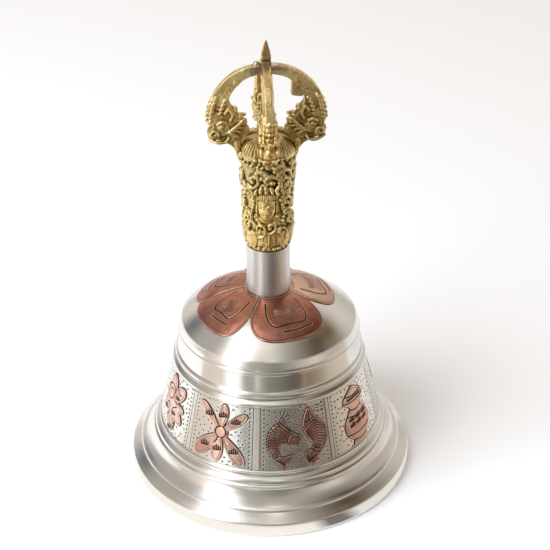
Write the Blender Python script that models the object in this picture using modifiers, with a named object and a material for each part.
"""A Tibetan hand bell: a turned white-metal bell with copper inlays, a cast brass handle
with a five-pronged crown, and an iron clapper hung from an eye rod inside.

The origin is the centre of the rim's base, +Z points up the bell's axis and -Y is the
side that the head on the handle looks to. Sizes in this file are millimetres and degrees,
and to_metres() turns them into Blender's metres. Azimuths start at -Y and grow towards +X.
"""
import math

import bmesh
import bpy
from mathutils import Matrix, Vector

MM = 0.001
GAP = 0.3  # clearance between pieces that touch on the real bell

# ---- driving dimensions, mm and degrees ----
RIM_RADIUS = 47.5
RIM_INNER_RADIUS = 44.4
DOME_RADIUS = 29.75  # superellipse of the crown of the bell
DOME_BASE_Z = 48.0
DOME_RISE = 17.4
DOME_POWER_R = 1.8
DOME_POWER_Z = 2.1
WALL = 2.1
INLAY_SEAT = 0.5  # how far the seats of the copper inlays lie below the finished surface
INLAY_THICKNESS = 0.45
ROD_RADIUS = 2.0
PANEL_TOP = (31.7, 39.2)  # radius and height of the panel band's upper edge
PANEL_BOTTOM = (36.8, 18.0)

FERRULE_BOTTOM = (7.3, 64.95)
FERRULE_TOP = (6.9, 81.4)
FERRULE_WALL = 1.1

GRIP_BORE_TOP_Z = 98.0
ROD_TOP_CLEARANCE = 1.2  # between the rod's end and the end of the grip's bore
CROWN_TURN = 4.0
CROWN_CENTRE_Z = 125.1
CROWN_RADIUS = 18.3
CROWN_ARC_BOTTOM_Z = 130.6  # where a prong's plain arc meets its animal head
PRONG_INNER_RADIUS = 2.1
PRONG_THICKNESS = 3.3
BLOCK_BOTTOM_Z = 139.1  # the middle prong is round below this height and square above
SPIKE_TIP_Z = 150.4

EYE_CENTRE_Z = 53.6
EYE_RADIUS = 3.2
EYE_WIRE = 1.0
RING_RADIUS = 4.2
RING_WIRE = 0.9
WASHER_RADIUS = 5.6
WASHER_THICKNESS = 0.8
NUT_RADIUS = 4.05  # across the corners
NUT_HEIGHT = 2.4
CLAPPER_EYE_RADIUS = 2.9
CLAPPER_EYE_WIRE = 0.8
SHANK_RADIUS = 1.3
SHANK_DEPTH = 2.0  # how far the shank's end lies below the bob's middle
BOB_RADIUS = 6.8
BOB_HALF_HEIGHT = 6.6
BOB_Z = 13.0

TURN_STEPS = 56  # facets round the bell, a multiple of four
SMALL_STEPS = 32
BOB_STEPS = 28
WIRE_STEPS = 28
WIRE_SIDES = 12
CUTTER_DEPTH = 18.0  # how deep the plates are that the motifs are cut from

# The rim's profile below the panels, outer side, top to bottom: radius and height.
LOWER_WALL = [
    (37.4, 17.2), (38.3, 15.6), (38.4, 14.7), (39.2, 14.2), (39.3, 13.2), (39.8, 11.6),
    (41.2, 9.0), (43.4, 6.5), (44.3, 6.3), (46.5, 4.2), (47.2, 3.0), (RIM_RADIUS, 1.0),
]
# The mouldings between the dome and the panels, outer side, top to bottom.
UPPER_WALL = [
    (29.75, 50.8), (30.0, 49.8), (30.0, 46.6), (30.6, 44.4), (30.9, 43.2), (30.7, 42.4),
    (31.2, 41.8), (31.7, 40.9), (31.8, 39.9),
]


# Each petal's first and last azimuth, its reach, and the share it falls off at either end.
PETALS = {
    "front_right": (-21.5, 65.0, 23.4, 0.33, 0.40),
    "right_rear": (66.2, 152.0, 21.8, 0.40, 0.27),
    "back": (153.2, 207.5, 23.0, 0.31, 0.33),
    "rear_left": (208.7, 270.6, 24.4, 0.37, 0.09),
    "front_left": (271.8, 337.3, 24.0, 0.07, 0.34),
}
FLOWER_STEP = 6
PETAL_STEPS = 24

# The azimuth that each motif is centred on, in order round the bell.
MOTIFS = {
    "lotus": -27.4,
    "fish_left": 13.8,
    "fish_right": 13.8,
    "vase": 55.0,
    "wheel": 106.5,
    "parasol": 150.5,
    "endless_knot": 195.5,
    "banner": 241.2,
    "conch": 290.5,
}


def to_metres(points):
    """Points in millimetres as vectors in metres."""
    return [Vector(p) * MM for p in points]


def dome_height(radius):
    """Height of the finished dome surface at a distance from the axis."""
    part = 1.0 - (radius / DOME_RADIUS) ** DOME_POWER_R
    return DOME_BASE_Z + DOME_RISE * max(part, 0.0) ** (1.0 / DOME_POWER_Z)


def smooth_through(knots, per_span, closed=False):
    """Points on a Catmull-Rom curve through 2D knots."""
    count = len(knots)
    spans = count if closed else count - 1
    points = []
    for i in range(spans):
        if closed:
            p0, p1, p2, p3 = (knots[(i + k - 1) % count] for k in range(4))
        else:
            p0, p1, p2, p3 = (knots[min(max(i + k - 1, 0), count - 1)] for k in range(4))
        for step in range(per_span):
            t = step / per_span
            points.append(tuple(
                0.5 * (2 * b + (c - a) * t + (2 * a - 5 * b + 4 * c - d) * t * t
                       + (3 * b - a - 3 * c + d) * t ** 3)
                for a, b, c, d in zip(p0, p1, p2, p3)
            ))
    if not closed:
        points.append(tuple(knots[-1]))
    return points


# ---- scene, collections and materials ----

def empty_scene():
    for thing in list(bpy.data.objects):
        bpy.data.objects.remove(thing, do_unlink=True)


def new_collection(name):
    made = bpy.data.collections.new(name)
    bpy.context.scene.collection.children.link(made)
    return made


def metal(name, colour, roughness):
    """A Principled metal of one colour."""
    made = bpy.data.materials.new(name)
    made.use_nodes = True
    shader = made.node_tree.nodes["Principled BSDF"]
    shader.inputs["Base Color"].default_value = (*colour, 1.0)
    shader.inputs["Metallic"].default_value = 1.0
    shader.inputs["Roughness"].default_value = roughness
    return made


SILVER = ((0.80, 0.77, 0.72), 0.28)
COPPER = ((0.52, 0.20, 0.11), 0.32)
BRASS = ((0.50, 0.34, 0.10), 0.36)
IRON = ((0.16, 0.15, 0.14), 0.5)


def add_mesh_object(name, mesh, look, collection, smooth_angle=35.0):
    """An object for a mesh, shaded smooth up to an angle, with its own material."""
    made = bpy.data.objects.new(name, mesh)
    collection.objects.link(made)
    if look:
        mesh.materials.clear()
        mesh.materials.append(metal(name, *look))
    mesh.shade_smooth()
    mesh.set_sharp_from_angle(angle=math.radians(smooth_angle))
    return made


def bmesh_object(name, bm, look, collection):
    mesh = bpy.data.meshes.new(name)
    bm.to_mesh(mesh)
    bm.free()
    return add_mesh_object(name, mesh, look, collection)


def applied(thing):
    """The object with its modifiers or curve turned into a plain mesh."""
    bpy.context.view_layer.update()
    evaluated = thing.evaluated_get(bpy.context.evaluated_depsgraph_get())
    mesh = bpy.data.meshes.new_from_object(evaluated)
    name, matrix = thing.name, thing.matrix_world.copy()
    collection = thing.users_collection[0]
    bpy.data.objects.remove(thing, do_unlink=True)
    bm = bmesh.new()
    bm.from_mesh(mesh)
    bmesh.ops.remove_doubles(bm, verts=bm.verts, dist=1e-7)
    bm.to_mesh(mesh)
    bm.free()
    made = bpy.data.objects.new(name, mesh)
    made.name = name
    made.matrix_world = matrix
    collection.objects.link(made)
    return made


def boolean(target, other, operation):
    """Join or cut the target with another object, which becomes a hidden guide."""
    change = target.modifiers.new(operation.lower(), "BOOLEAN")
    change.operation = operation
    change.object = other
    other.hide_render = True
    other.display_type = "WIRE"


# ---- shapes ----

def turned(name, profile, look, collection, steps=TURN_STEPS, closed=True):
    """A profile of (radius, height) turned about +Z."""
    bm = bmesh.new()
    verts = [bm.verts.new((r * MM, 0.0, z * MM)) for r, z in profile]
    for a, b in zip(verts, verts[1:]):
        bm.edges.new((a, b))
    if closed:
        bm.edges.new((verts[-1], verts[0]))
    made = bmesh_object(name, bm, look, collection)
    screw = made.modifiers.new("turn", "SCREW")
    screw.axis = "Z"
    screw.steps = screw.render_steps = steps
    screw.use_merge_vertices = True
    screw.merge_threshold = 0.00005
    screw.use_smooth_shade = True
    return made


def outline_plate(name, outline, thickness, look, collection):
    """A flat closed outline in XY, filled and extruded both ways along Z."""
    curve = bpy.data.curves.new(name, "CURVE")
    curve.dimensions = "2D"
    curve.fill_mode = "BOTH"
    curve.extrude = thickness / 2 * MM
    spline = curve.splines.new("POLY")
    spline.points.add(len(outline) - 1)
    for point, (x, y) in zip(spline.points, outline):
        point.co = (x * MM, y * MM, 0.0, 1.0)
    spline.use_cyclic_u = True
    made = bpy.data.objects.new(name, curve)
    collection.objects.link(made)
    if look:
        curve.materials.append(metal(name, *look))
    return made


def wire_loop(name, radius, wire, collection, look, around="Y"):
    """A torus with its own axis along X or Y."""
    bm = bmesh.new()
    ring = bmesh.ops.create_circle(bm, segments=WIRE_SIDES, radius=wire * MM)["verts"]
    for vert in ring:
        vert.co = (radius * MM + vert.co.x, 0.0, vert.co.y)
    bmesh.ops.spin(bm, geom=ring + list(bm.edges), cent=(0, 0, 0), axis=(0, 0, 1),
                   angle=math.tau, steps=WIRE_STEPS, use_merge=True)
    bmesh.ops.remove_doubles(bm, verts=bm.verts, dist=1e-7)
    bmesh.ops.recalc_face_normals(bm, faces=bm.faces)
    turn = Matrix.Rotation(math.radians(90), 4, "X" if around == "Y" else "Y")
    bmesh.ops.transform(bm, matrix=turn, verts=bm.verts)
    return bmesh_object(name, bm, look, collection)


def cylinder(name, radius, bottom, top, segments, look, collection):
    bm = bmesh.new()
    bmesh.ops.create_cone(bm, cap_ends=True, segments=segments, radius1=radius * MM,
                          radius2=radius * MM, depth=(top - bottom) * MM)
    bmesh.ops.translate(bm, vec=(0, 0, (bottom + top) / 2 * MM), verts=bm.verts)
    return bmesh_object(name, bm, look, collection)


def ball(name, centre, size, look, collection, segments=16):
    """An ellipsoid with half sizes along the three axes."""
    bm = bmesh.new()
    bmesh.ops.create_uvsphere(bm, u_segments=segments, v_segments=segments // 2, radius=MM)
    bmesh.ops.scale(bm, vec=size, verts=bm.verts)
    bmesh.ops.translate(bm, vec=Vector(centre) * MM, verts=bm.verts)
    return bmesh_object(name, bm, look, collection)


# ---- the bell ----

def dome_line(first, last, count, drop=0.0):
    """Points down the dome from one radius to another, lowered by a drop."""
    points = []
    for i in range(count):
        radius = first + (last - first) * i / (count - 1)
        points.append((radius, dome_height(radius) - drop))
    return points


def inner_wall():
    """The inside of the bell, bottom to top: smooth, thick at the rim, thin above."""
    knots = [
        (RIM_INNER_RADIUS, 0.0), (43.0, 2.8), (40.0, 7.0), (37.4, 11.2), (35.5, 15.8),
        (33.6, 21.5), (31.4, 29.5), (29.8, 37.5), (28.7, 44.0), (27.6, 49.0),
    ]
    for radius in (26.3, 24.0, 20.5, 15.5, 9.5):
        knots.append((radius, dome_height(radius + 1.4) - WALL - INLAY_SEAT))
    return knots


def make_bell_shell(parts):
    """The turned wall, with seats for the inlays and a hole for the rod."""
    hole = ROD_RADIUS + GAP
    seat_top = dome_height(FERRULE_BOTTOM[0]) - INLAY_SEAT
    profile = [(hole, seat_top)]
    profile += dome_line(FERRULE_BOTTOM[0], 25.4, 6, INLAY_SEAT)
    profile += dome_line(25.8, 29.6, 4)
    profile += UPPER_WALL
    profile += [(PANEL_TOP[0] - INLAY_SEAT, PANEL_TOP[1])]
    profile += [(PANEL_BOTTOM[0] - INLAY_SEAT, PANEL_BOTTOM[1])]
    profile += LOWER_WALL
    profile += [(RIM_RADIUS - 0.3, 0.0)]
    profile += inner_wall()
    profile += [(WASHER_RADIUS + 0.8, seat_top - WALL), (hole, seat_top - WALL)]
    return turned("bell_shell", profile, SILVER, parts)


# ---- copper inlays ----

def dome_skin(name, guides):
    """A closed sheet over the dome, from which the petals are cut."""
    inner = INLAY_SEAT - GAP
    outer = INLAY_THICKNESS - inner
    upper = dome_line(8.0, 25.2, 7, -outer)
    lower = dome_line(25.2, 8.0, 7, inner)
    return turned(name, upper + lower, None, guides)


def petal_outline(first, last, reach, fall_first, fall_last):
    """A petal seen from above: a ring sector at the ferrule and an edge that falls off."""
    def place(share, radius):
        angle = math.radians(first + (last - first) * share)
        return (radius * math.sin(angle), -radius * math.cos(angle))

    edge = []
    for i in range(PETAL_STEPS + 1):
        share = i / PETAL_STEPS
        fall = fall_first * max(1 - 2 * share, 0) ** 5 + fall_last * max(2 * share - 1, 0) ** 5
        edge.append(place(share, reach * (1 - fall)))
    return edge + [place(1 - i / 6, FERRULE_BOTTOM[0] + 0.9) for i in range(7)]


def make_petals(parts, guides):
    for name, shape in PETALS.items():
        sheet = dome_skin("skin_" + name, guides)
        outline = petal_outline(*shape)
        petal = outline_plate("petal_" + name, outline, 40.0, COPPER, parts)
        petal.location = to_metres([(0, 0, 60.0)])[0]
        petal = applied(petal)
        petal.data.shade_smooth()
        boolean(petal, sheet, "INTERSECT")


def mirrored(half):
    """A closed outline from its right half, bottom to top."""
    return half + [(-x, y) for x, y in reversed(half) if x > 0.01]


def circle_outline(radius, count):
    """A round outline."""
    return [(radius * math.cos(math.tau * i / count), radius * math.sin(math.tau * i / count))
            for i in range(count)]


def arc_points(centre, radius, first, last, count):
    """Points on an arc between two angles, counted from +X."""
    angles = [math.radians(first + (last - first) * i / (count - 1)) for i in range(count)]
    return [(centre[0] + radius * math.cos(a), centre[1] + radius * math.sin(a)) for a in angles]


def flower_outline(petals, waist, lift):
    """The outer edge of petals, each with its direction, length and half angle."""
    outline = []
    for degrees in range(0, 360, FLOWER_STEP):
        reach = waist
        for direction, length, spread in petals:
            turn = abs((degrees - direction + 180) % 360 - 180) / spread
            if turn < 1:
                reach = max(reach, length * (1 - turn ** 1.8) ** 0.7)
        angle = math.radians(degrees)
        outline.append((reach * math.cos(angle), reach * math.sin(angle) + lift))
    return outline


LOTUS_PETALS = ((134, 11.5, 18), (86, 9.5, 26), (40, 11, 20), (-50, 13.5, 22), (-98, 10.5, 28),
                (226, 13.5, 24))
CONCH_LOBES = ((95, 9.5, 42), (150, 6.5, 45), (215, 7.5, 42), (285, 10, 42), (330, 9.5, 30),
               (0, 8.5, 25), (45, 10.5, 32))
LOTUS_LIFT = 0.6
LOBE_WAIST = 2.6
# The fish: round backs, with a blunt lobe on the left one and a forked tail on each.
FISH_LEFT = (
    [(-4, 7.5)] + arc_points((-1.6, -1.2), 7.8, 115, 225, 9)
    + [(-4.5, -10), (-3, -8.5), (-1, -5.5)] + arc_points((-2, -4), 3.4, 215, 140, 4)
    + arc_points((0, -0.6), 2, -100, 80, 7) + [(-1.5, 3), (-3, 5)]
)
FISH_RIGHT = (
    [(4.5, 9.5), (2.5, 5), (2.5, 2), (4, -1), (5.5, -3.5), (4.5, -5), (2.5, -6), (5, -10)]
    + arc_points((2.9, -1), 7.8, -50, 60, 9)
)
VASE_HALF = [(0, -10), (4, -10), (3.5, -8.5), (6, -6), (6.5, -2.5), (4.5, 0.5), (3, 2), (3.5, 3.5),
             (5.5, 5), (4.5, 7), (2, 8.5), (0, 9.5)]
KNOT = [
    (0, 9.4), (3.2, 6.4), (6.6, 6.6), (6.4, 3.2), (9.3, 0), (6.4, -3.2), (6.6, -6.6),
    (3.2, -6.4), (0, -9.4), (-3.2, -6.4), (-6.6, -6.6), (-6.4, -3.2), (-9.3, 0), (-6.4, 3.2),
    (-6.6, 6.6), (-3.2, 6.4),
]
PARASOL_HALF = [
    (0, -9.8), (1.2, -9.4), (1.1, -2.4), (3.0, -1.2), (4.2, -3.6), (6.2, -1.9), (8.5, -2.8),
    (8.2, 1.6), (5.8, 5.0), (2.3, 6.9), (1.5, 8.8), (0, 9.7),
]
BANNER_HALF = [
    (0, -9.7), (2.0, -8.4), (4.6, -8.9), (4.4, -4.0), (5.5, -3.3), (4.5, 1.0), (5.9, 1.8),
    (4.9, 5.4), (2.3, 6.8), (1.3, 9.2), (0, 9.8),
]
WHEEL_RADIUS = 6.6


def motif_outlines():
    """Each motif's finished outline by name."""
    curved = {
        "fish_left": FISH_LEFT, "fish_right": FISH_RIGHT, "vase": mirrored(VASE_HALF),
        "parasol": mirrored(PARASOL_HALF), "banner": mirrored(BANNER_HALF),
    }
    outlines = {name: smooth_through(knots, 2, closed=True) for name, knots in curved.items()}
    outlines["lotus"] = flower_outline(LOTUS_PETALS, LOBE_WAIST, LOTUS_LIFT)
    outlines["conch"] = flower_outline(CONCH_LOBES, LOBE_WAIST, 0.0)
    outlines["wheel"] = circle_outline(WHEEL_RADIUS, 48)
    outlines["endless_knot"] = KNOT
    return outlines


def panel_skin(name, guides):
    """A closed sheet over the panel band, from which the motifs are cut."""
    inner = INLAY_SEAT - GAP
    outer = INLAY_THICKNESS - inner
    (r_top, z_top), (r_bottom, z_bottom) = PANEL_TOP, PANEL_BOTTOM
    profile = [
        (r_top + outer, z_top - GAP), (r_bottom + outer, z_bottom + GAP),
        (r_bottom - inner, z_bottom + GAP), (r_top - inner, z_top - GAP),
    ]
    return turned(name, profile, None, guides)


def make_motifs(parts, guides):
    """Flat copper motifs, bent round the bell by cutting them from the panel skin."""
    middle = (Vector(PANEL_TOP) + Vector(PANEL_BOTTOM)) / 2
    for name, outline in motif_outlines().items():
        sheet = panel_skin("skin_" + name, guides)
        azimuth = math.radians(MOTIFS[name])
        outward = Vector((math.sin(azimuth), -math.cos(azimuth), 0))
        across = Vector((math.cos(azimuth), math.sin(azimuth), 0))
        place = Matrix((across, Vector((0, 0, 1)), outward)).transposed().to_4x4()
        place.translation = (outward * middle.x + Vector((0, 0, middle.y))) * MM
        motif = outline_plate("motif_" + name, outline, CUTTER_DEPTH, COPPER, parts)
        motif.matrix_world = place
        motif = applied(motif)
        motif.data.shade_smooth()
        boolean(motif, sheet, "INTERSECT")


# ---- the handle ----

def make_ferrule(parts):
    (r_bottom, z_bottom), (r_top, z_top) = FERRULE_BOTTOM, FERRULE_TOP
    profile = [
        (r_top - FERRULE_WALL, z_top), (r_top, z_top), (r_bottom, z_bottom),
        (r_bottom - FERRULE_WALL, z_bottom),
    ]
    return turned("ferrule", profile, SILVER, parts, SMALL_STEPS)


GRIP_PROFILE = [
    (0.0, 119.4), (4.4, 119.1), (6.3, 117.8), (7.2, 116.0), (7.5, 112.8), (8.8, 112.4),
    (8.9, 110.4), (8.3, 106.5), (8.0, 102.0), (7.7, 96.0), (7.9, 91.5), (7.8, 87.5),
    (7.0, 83.4), (6.7, 81.7), (5.5, 81.7), (5.3, 72.0), (ROD_RADIUS + GAP, 72.0),
    (ROD_RADIUS + GAP, GRIP_BORE_TOP_Z), (0.0, GRIP_BORE_TOP_Z),
]


def make_grip(parts, guides):
    """The cast grip: spigot in the ferrule, bored for the rod, with a head in relief."""
    grip = turned("handle_grip", GRIP_PROFILE, BRASS, parts, SMALL_STEPS, closed=False)
    head = ball("head_mass", (0, -6.6, 99.2), (3.1, 3.0, 4.9), None, guides)
    boolean(grip, head, "UNION")
    return grip


def prong_outline():
    """One prong from the side: x outwards from the crown's axis, y up."""
    arc_low = math.asin((CROWN_ARC_BOTTOM_Z - CROWN_CENTRE_Z) / CROWN_RADIUS)
    arc_high = math.acos(PRONG_INNER_RADIUS / CROWN_RADIUS)
    outer = []
    for i in range(9):
        angle = arc_low + (arc_high - arc_low) * i / 8
        outer.append((CROWN_RADIUS * math.cos(angle),
                      CROWN_CENTRE_Z + CROWN_RADIUS * math.sin(angle)))
    inner = [(PRONG_INNER_RADIUS, 140.0), (5.4, 139.2), (8.6, 136.9), (10.7, 134.0),
             (11.1, 131.0)]
    head = [
        (8.8, 128.0), (8.5, 125.6), (6.6, 125.0), (5.6, 122.8), (5.2, 120.9), (6.9, 118.8),
        (7.7, 116.2), (7.9, 113.2), (9.1, 113.2), (9.8, 115.0), (10.4, 116.7), (13.0, 117.6),
        (15.8, 118.0), (17.8, 118.6), (18.5, 120.4), (18.3, 122.6), (17.5, 124.2),
        (18.4, 126.4), (18.4, 128.6),
    ]
    return outer + inner + head


def make_prongs(parts, guides):
    """Four curved prongs, each with the mass of its animal head."""
    turns = {"front": -1.5, "right": 0.0, "rear": 2.0, "left": 0.0}
    for number, (name, extra) in enumerate(turns.items()):
        azimuth = math.radians(90 * number - 90 + CROWN_TURN + extra)
        place = Matrix.Rotation(azimuth, 4, "Z")
        upright = Matrix.Rotation(math.radians(90), 4, "X")
        prong = outline_plate("prong_" + name, prong_outline(), PRONG_THICKNESS, BRASS, parts)
        prong.matrix_world = place @ upright
        prong = applied(prong)
        prong.data.shade_smooth()
        prong.data.set_sharp_from_angle(angle=math.radians(35))
        for lump, (centre, size) in {
            "brow": ((14.2, 0, 126.6), (3.6, 2.9, 4.6)),
            "snout": ((15.2, 0, 121.4), (2.9, 2.6, 2.7)),
            "neck": ((10.6, 0, 120.6), (3.6, 2.4, 3.6)),
        }.items():
            mass = ball("mass_%s_%s" % (name, lump), centre, size, None, guides, 14)
            mass.matrix_world = place
            boolean(prong, mass, "UNION")


def make_centre_prong(parts):
    """The middle prong: a waisted round stem, a square block and a four-sided spike."""
    stem = [(1.7, 119.75), (2.3, 121.6), (1.6, 124.6), (1.9, 130.0), (1.6, 136.0), (1.4, 139.0)]
    block = [(1.5, BLOCK_BOTTOM_Z), (1.5, 143.6), (1.2, 144.2), (1.42, 144.8), (1.24, 146.5),
             (0.98, 147.6), (0.12, SPIKE_TIP_Z)]
    bm = bmesh.new()
    loops = []
    for radius, z in stem + block:
        squareness = 1.0 if z >= BLOCK_BOTTOM_Z else 0.0
        loop = []
        for i in range(16):
            angle = math.tau * i / 16
            reach = radius / max(abs(math.cos(angle)), abs(math.sin(angle)))
            reach = radius + (reach - radius) * squareness
            loop.append(bm.verts.new((reach * math.cos(angle) * MM,
                                      reach * math.sin(angle) * MM, z * MM)))
        loops.append(loop)
    for low, high in zip(loops, loops[1:]):
        for i in range(16):
            j = (i + 1) % 16
            bm.faces.new((low[i], low[j], high[j], high[i]))
    bm.faces.new(reversed(loops[0]))
    bm.faces.new(loops[-1])
    made = bmesh_object("prong_centre", bm, BRASS, parts)
    made.rotation_euler.z = math.radians(CROWN_TURN)
    return made


# ---- what the bell holds inside ----

def make_rod(parts, guides):
    """The eye rod that clamps bell, ferrule and grip together."""
    rod = cylinder("eye_rod", ROD_RADIUS, EYE_CENTRE_Z + EYE_RADIUS,
                   GRIP_BORE_TOP_Z - ROD_TOP_CLEARANCE, 20, IRON, parts)
    eye = wire_loop("eye_loop", EYE_RADIUS, EYE_WIRE, guides, None, around="Y")
    eye.location.z = EYE_CENTRE_Z * MM
    boolean(rod, eye, "UNION")
    return rod


def make_fasteners(parts):
    """The washer against the inside of the dome, and the nut under it."""
    inside_z = dome_height(FERRULE_BOTTOM[0]) - INLAY_SEAT - WALL
    bore = ROD_RADIUS + GAP
    washer_top = inside_z - GAP
    washer = turned("dome_washer", [
        (bore, washer_top), (WASHER_RADIUS, washer_top),
        (WASHER_RADIUS, washer_top - WASHER_THICKNESS), (bore, washer_top - WASHER_THICKNESS),
    ], IRON, parts, SMALL_STEPS)
    nut_top = washer_top - WASHER_THICKNESS - GAP
    nut = turned("rod_nut", [
        (bore, nut_top), (NUT_RADIUS, nut_top), (NUT_RADIUS, nut_top - NUT_HEIGHT),
        (bore, nut_top - NUT_HEIGHT),
    ], IRON, parts, 6)
    return washer, nut


def ring_centre_z():
    return EYE_CENTRE_Z - EYE_RADIUS + EYE_WIRE + RING_WIRE + GAP - RING_RADIUS


def make_hanger_ring(parts):
    """The link between the eye and the clapper, with its origin on its hinge axis."""
    pivot_z = EYE_CENTRE_Z - EYE_RADIUS
    ring = wire_loop("hanger_ring", RING_RADIUS, RING_WIRE, parts, IRON, around="X")
    drop = Matrix.Translation((0, 0, (ring_centre_z() - pivot_z) * MM))
    ring.data.transform(drop)
    ring.location.z = pivot_z * MM
    return ring


def make_clapper(parts, guides):
    """Shank with a closed eye, and the bob riveted to its end."""
    pivot_z = ring_centre_z() - RING_RADIUS
    eye_z = pivot_z + RING_WIRE + CLAPPER_EYE_WIRE + GAP - CLAPPER_EYE_RADIUS
    shank = cylinder("clapper_shank", SHANK_RADIUS, BOB_Z - SHANK_DEPTH - pivot_z,
                     eye_z - CLAPPER_EYE_RADIUS - pivot_z, 16, IRON, parts)
    eye = wire_loop("clapper_eye", CLAPPER_EYE_RADIUS, CLAPPER_EYE_WIRE, guides, None, around="Y")
    eye.location.z = eye_z * MM
    shank.location.z = pivot_z * MM
    boolean(shank, eye, "UNION")

    bore = SHANK_RADIUS + GAP
    profile = [(bore, BOB_HALF_HEIGHT - 0.3), (2.6, BOB_HALF_HEIGHT)]
    for i in range(7):
        angle = math.radians(62 - i * 21)
        profile.append((BOB_RADIUS * math.cos(angle), BOB_HALF_HEIGHT * math.sin(angle)))
    profile += [(0.0, -BOB_HALF_HEIGHT), (0.0, -SHANK_DEPTH - GAP), (bore, -SHANK_DEPTH - GAP)]
    profile = [(r, z + BOB_Z - pivot_z) for r, z in profile]
    bob = turned("clapper_bob", profile, IRON, parts, BOB_STEPS, closed=False)
    bm = bmesh.new()
    bm.from_mesh(bob.data)
    bm.verts.ensure_lookup_table()
    bm.edges.new((bm.verts[-1], bm.verts[0]))
    bm.to_mesh(bob.data)
    bm.free()
    bob.location.z = pivot_z * MM
    return shank, bob


def main():
    empty_scene()
    parts = new_collection("tibetan_bell")
    guides = new_collection("guides")
    make_bell_shell(parts)
    make_petals(parts, guides)
    make_motifs(parts, guides)
    make_ferrule(parts)
    make_grip(parts, guides)
    make_prongs(parts, guides)
    make_centre_prong(parts)
    make_rod(parts, guides)
    make_fasteners(parts)
    make_hanger_ring(parts)
    make_clapper(parts, guides)


main()
